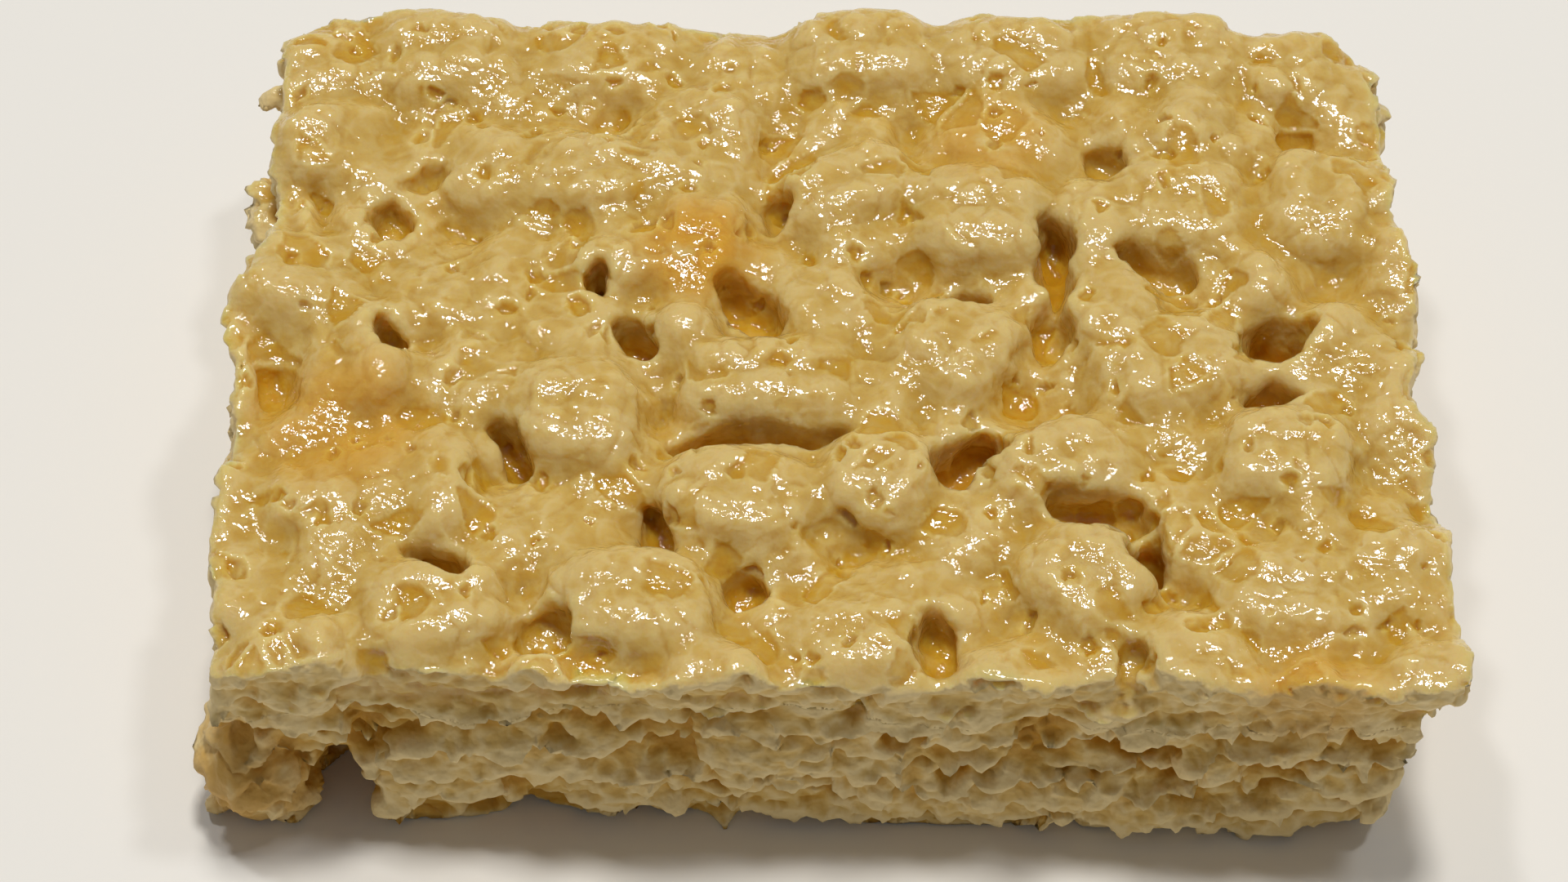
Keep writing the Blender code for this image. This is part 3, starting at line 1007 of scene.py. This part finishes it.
def split_layers(body):
    """The glazed top layer and the crumb under it, parted along a seam between two rows."""
    spans = {
        "glazed_top": (SEAM_LEVEL, SLAB_HEIGHT + SEAM_BOX_REACH),
        "cut_crumb": (-SEAM_BOX_REACH, SEAM_LEVEL + SEAM_OVERLAP),
    }
    pieces = []
    for name, (low, high) in spans.items():
        box = seam_box(low, high)
        piece = copied(body, name, Matrix())
        carve(piece, box, "INTERSECT")
        keep_largest(piece)
        modify(piece, "TRIANGULATE")
        modify(piece, "DECIMATE", ratio=min(1, MOST_TRIANGLES / len(piece.data.polygons)))
        pieces.append(piece)
    remove(body)
    return pieces


# Finish


def paint(piece):
    """Writes on the skin how deep it lies (for shade painted into pits, gaps and windows), how
    toasted it is and where it was cut.
    """
    places = points_of(piece)
    facing = normals_of(piece)
    glazed = glazed_share(places, facing)
    inset = inset_of(places)
    # The pit value only colours the skin: painted shade, darker in pits and creases and lighter on
    # ridges.
    near = np.einsum("ij,ij->i", smoothed_places(piece, NEAR_ROUNDS) - places, facing)
    wide = np.einsum("ij,ij->i", smoothed_places(piece, WIDE_ROUNDS) - places, facing)
    pit = PIT_MIDDLE + (PIT_NEAR + PIT_NEAR_GLAZE * glazed) * near + PIT_WIDE * wide
    _reach, _edge, _number, window, _small, pore = windows_at(places)
    # The sunk value only colours the skin: painted shade, darker and more amber deep in the gaps
    # between grains and in the hollows of the cut sides.
    below = SUNK_BELOW - places[:, 2]
    sunk = smooth_step(inset, *SUNK_INSET) * smooth_step(below, *SUNK_DEPTHS)
    sunk = np.maximum(sunk, smooth_step(inset, *SUNK_CUT_INSET) * (1 - glazed))
    pressed = smooth_step(-facing[:, 2], *PRESSED_PAINT_FACING)
    sunk *= 1 - pressed * (places[:, 2] < PRESSED_PAINT_LEVEL)
    toast = np.zeros(len(places))
    for x, y, z, radius, strength in TOASTED:
        distance = np.linalg.norm((places - (x, y, z)) * TOAST_STRETCH, axis=1)
        patch = strength * (1 - smooth_step(distance / radius, *TOAST_EDGE))
        toast = np.maximum(toast, patch)
    write_values(piece, "pit", np.clip(pit, 0, 1))
    # Sunken windows and pores are also painted darker: painted shade in these small recesses.
    write_values(piece, "window", np.maximum(window, pore) * glazed)
    write_values(piece, "sunk", sunk)
    write_values(piece, "toast", toast)
    write_values(piece, "glazed", glazed)


class Level:
    """A number inside a material, for arithmetic."""

    def __init__(self, finish, socket):
        self.finish = finish
        self.socket = socket

    def maths(self, operation, first, second):
        """One step of arithmetic."""
        made = self.finish.node("ShaderNodeMath", {"operation": operation}, {0: first, 1: second})
        return Level(self.finish, made.outputs[0])

    def __add__(self, other):
        return self.maths("ADD", self, other)

    def __radd__(self, other):
        return self.maths("ADD", other, self)

    def __sub__(self, other):
        return self.maths("SUBTRACT", self, other)

    def __rsub__(self, other):
        return self.maths("SUBTRACT", other, self)

    def __mul__(self, other):
        return self.maths("MULTIPLY", self, other)

    def __rmul__(self, other):
        return self.maths("MULTIPLY", other, self)


class Finish:
    """A material under construction."""

    def __init__(self, name):
        self.material = bpy.data.materials.new(name)
        self.material.use_nodes = True
        self.tree = self.material.node_tree
        self.shader = self.tree.nodes["Principled BSDF"]

    def node(self, kind, settings=None, values=None):
        """Adds a node, sets it, and fills or links its sockets."""
        made = self.tree.nodes.new(kind)
        for setting, value in (settings or {}).items():
            if setting == "stops":
                self.set_stops(made.color_ramp, value)
            else:
                setattr(made, setting, value)
        self.fill(made, values or {})
        return made

    def feed(self, socket, value):
        """Links a socket or sets its value."""
        if isinstance(value, Level):
            value = value.socket
        if isinstance(value, bpy.types.NodeSocket):
            self.tree.links.new(value, socket)
        else:
            socket.default_value = value

    def fill(self, node, values):
        """Feeds several sockets of one node."""
        for key, value in values.items():
            self.feed(node.inputs[key], value)

    def set_stops(self, ramp, stops):
        """Gives a ramp its stops."""
        while len(ramp.elements) < len(stops):
            ramp.elements.new(0.5)
        for element, (position, colour) in zip(ramp.elements, stops):
            element.position = position
            element.color = (*colour, 1)

    def attribute(self, name):
        """A number stored on the skin."""
        made = self.node("ShaderNodeAttribute", {"attribute_name": name})
        return Level(self, made.outputs["Fac"])

    def noise(self, size, detail, roughness):
        """Even noise with features of a size in metres."""
        place = self.node("ShaderNodeTexCoord").outputs["Object"]
        values = {"Vector": place, "Scale": 1 / size, "Detail": detail, "Roughness": roughness}
        return Level(self, self.node("ShaderNodeTexNoise", None, values).outputs["Fac"])

    def bubble_walls(self, size):
        """0 on the thin walls between small bubbles, 1 inside them."""
        place = self.node("ShaderNodeTexCoord").outputs["Object"]
        values = {"Vector": place, "Scale": 1 / size, "Detail": 1.0}
        sway = self.node("ShaderNodeTexNoise", None, values)
        values = {0: sway.outputs["Color"], 1: (size, size, size), 2: place}
        swayed = self.node("ShaderNodeVectorMath", {"operation": "MULTIPLY_ADD"}, values)
        values = {"Vector": swayed.outputs[0], "Scale": 1 / size}
        cells = self.node("ShaderNodeTexVoronoi", {"feature": "DISTANCE_TO_EDGE"}, values)
        return self.step(Level(self, cells.outputs["Distance"]), *BUBBLE_WALL)

    def step(self, level, low, high):
        """Rises from 0 to 1 between two values."""
        values = {"Value": level, "From Min": low, "From Max": high}
        made = self.node("ShaderNodeMapRange", {"interpolation_type": "SMOOTHSTEP"}, values)
        return Level(self, made.outputs["Result"])

    def mix(self, share, first, second):
        """A colour between two."""
        made = self.node("ShaderNodeMix", {"data_type": "RGBA"}, {0: share, 6: first, 7: second})
        return made.outputs[2]

    def ramp(self, level, stops):
        """A colour from a number."""
        return self.node("ShaderNodeValToRGB", {"stops": stops}, {"Fac": level}).outputs["Color"]


def rice_finish():
    """Golden rice: in a clear sticky coat on the top, dull and crumbly where it was cut, with shade
    painted darker and more amber into its pits, gaps and windows.
    """
    finish = Finish("marshmallow_coated_rice")
    pit = finish.attribute("pit")
    sunk = finish.attribute("sunk")
    toast = finish.attribute("toast")
    glazed = finish.attribute("glazed")
    window = finish.attribute("window")
    mottle = finish.noise(*MOTTLE)
    speckle = finish.noise(*SPECKLE)
    bubble = finish.bubble_walls(BUBBLE_SIZE)
    # Painted shade: pits, gaps, cut hollows and sunken windows push the colour down the ramp to
    # darker amber; mottle, speckle and bubbles are the rice's own uneven tone.
    depth = pit * PIT_SHADE + sunk * SUNK_SHADE + window * WINDOW_SHADE
    depth = depth + mottle * MOTTLE_SHADE + speckle * SPECKLE_SHADE - SHADE_START
    depth = depth + bubble * BUBBLE_SHADE - BUBBLE_START
    toasted = toast * finish.step(mottle, *TOAST_MOTTLE)
    glaze_colour = finish.mix(toasted, finish.ramp(depth, GLAZE_STOPS), TOASTED_GLAZE)
    crumb_colour = finish.mix(toasted, finish.ramp(depth, CRUMB_STOPS), TOASTED_CRUMB)
    values = {"Strength": 1.0, "Distance": GLINT_HEIGHT, "Height": finish.noise(*GLINTS)}
    normal = finish.node("ShaderNodeBump", None, values).outputs["Normal"]
    coat = finish.shader
    finish.fill(
        coat,
        {
            "Base Color": glaze_colour,
            "Roughness": GLAZE_ROUGHNESS,
            "Specular IOR Level": GLAZE_GLOSS,
            "Subsurface Weight": 1.0,
            "Subsurface Radius": GLOW_RADIUS,
            "Subsurface Scale": GLOW_REACH,
            "Normal": normal,
        },
    )
    dull = finish.node("ShaderNodeBsdfPrincipled")
    finish.fill(
        dull,
        {
            "Base Color": crumb_colour,
            "Roughness": CRUMB_ROUGHNESS,
            "Specular IOR Level": CRUMB_GLOSS,
            "Normal": normal,
        },
    )
    values = {0: glazed, 1: dull.outputs[0], 2: coat.outputs[0]}
    both = finish.node("ShaderNodeMixShader", None, values)
    output = finish.tree.nodes["Material Output"]
    finish.feed(output.inputs["Surface"], both.outputs[0])
    return finish.material


def finish_piece(thing, name, material):
    """Shrinks a piece to metres, names it and gives it its finish."""
    thing.data.transform(Matrix.Scale(MM, 4))
    thing.name = name
    thing.data.name = name
    thing.data.materials.clear()
    thing.data.materials.append(material)
    for face in thing.data.polygons:
        face.use_smooth = True
    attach(thing, "root")


# Table, light and camera


def plain_material(name, colour, roughness):
    """One colour with one gloss."""
    material = bpy.data.materials.new(name)
    material.use_nodes = True
    shader = material.node_tree.nodes["Principled BSDF"]
    shader.inputs["Base Color"].default_value = (*colour, 1)
    shader.inputs["Roughness"].default_value = roughness
    return material


def add_table():
    """A plain pale floor."""
    deselect()
    bpy.ops.mesh.primitive_plane_add(size=TABLE_SIZE)
    table = bpy.context.object
    table.name = "table"
    table.data.materials.append(plain_material("table_top", TABLE_COLOUR, TABLE_ROUGHNESS))


def add_lamp(name, place, size, power, colour):
    """A square lamp that faces the middle of the table."""
    data = bpy.data.lights.new(name, "AREA")
    data.size = size
    data.energy = power
    data.color = colour
    lamp = bpy.data.objects.new(name, data)
    lamp.location = place
    lamp.rotation_euler = (-Vector(place)).to_track_quat("-Z", "Y").to_euler()
    bpy.context.scene.collection.objects.link(lamp)


def add_light():
    """Soft light from over and behind the bar, small lamps for the glints, and a dim room."""
    room = bpy.data.worlds.new("room")
    bpy.context.scene.world = room
    room.use_nodes = True
    background = room.node_tree.nodes["Background"]
    background.inputs["Color"].default_value = ROOM_COLOUR
    background.inputs["Strength"].default_value = ROOM_STRENGTH
    for lamp in LAMPS:
        add_lamp(*lamp)
    bpy.context.scene.view_settings.view_transform = "Standard"


def add_camera():
    """The camera, turned a little about the way it looks."""
    data = bpy.data.cameras.new("camera")
    data.lens = CAMERA_LENS
    data.sensor_width = SENSOR_WIDTH
    data.clip_start = NEAREST_SEEN
    camera = bpy.data.objects.new("camera", data)
    back = Vector((0, -math.cos(CAMERA_ELEVATION), math.sin(CAMERA_ELEVATION)))
    right = Vector((1, 0, 0))
    up = back.cross(right)
    turned_right = right * math.cos(CAMERA_ROLL) + up * math.sin(CAMERA_ROLL)
    turned_up = up * math.cos(CAMERA_ROLL) - right * math.sin(CAMERA_ROLL)
    turning = Matrix((turned_right, turned_up, back)).transposed()
    place = Matrix.Translation(CAMERA_TARGET + back * CAMERA_DISTANCE)
    camera.matrix_world = place @ turning.to_4x4()
    bpy.context.scene.collection.objects.link(camera)
    bpy.context.scene.camera = camera


def build():
    """The bar on its table, lit and framed as in the photograph."""
    finish = rice_finish()
    for piece in split_layers(model_bar()):
        paint(piece)
        finish_piece(piece, piece.name, finish)
        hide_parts("rice_bar")
    add_table()
    add_light()
    add_camera()


build()
